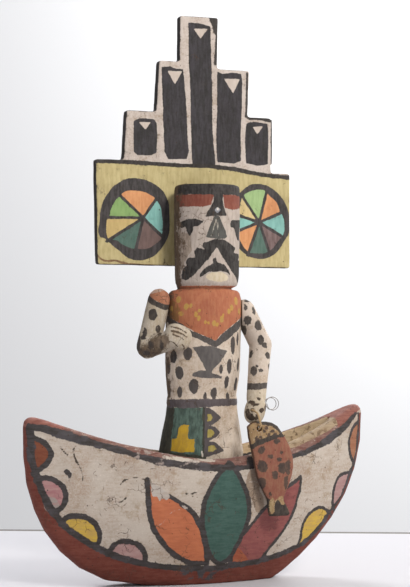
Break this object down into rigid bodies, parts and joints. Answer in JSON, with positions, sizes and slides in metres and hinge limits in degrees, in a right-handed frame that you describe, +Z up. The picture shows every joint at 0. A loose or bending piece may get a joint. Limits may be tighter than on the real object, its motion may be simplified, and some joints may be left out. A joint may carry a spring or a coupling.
{
  "type": "carved wooden doll in a boat",
  "caption": "Carved and painted wooden doll with a case mask and stepped board, standing in a dugout boat and holding a fish on a line.",
  "frame": {"origin": "middle of the boat's flat underside, on the surface it stands on", "axes": "+Z up, X along the boat with the raked end at +X, and +Y away from the side that the doll faces"},
  "size_m": [0.2844, 0.091, 0.4541],
  "materials": {
    "boat_wood": "gesso and matte paint, worn",
    "figure_wood": "gesso and matte paint, worn",
    "board_wood": "matte paint, worn",
    "fish_wood": "matte paint, worn",
    "cord": "twisted tan cord",
    "wire": "thin dull wire"
  },
  "bodies": {
    "root": {"boat": "boat_wood", "figure": "figure_wood", "tablita": "board_wood", "right_arm": "figure_wood", "left_arm": "figure_wood", "fish": "fish_wood", "fish_cord": "cord", "wire_loop": "wire"}
  },
  "joints": []
}
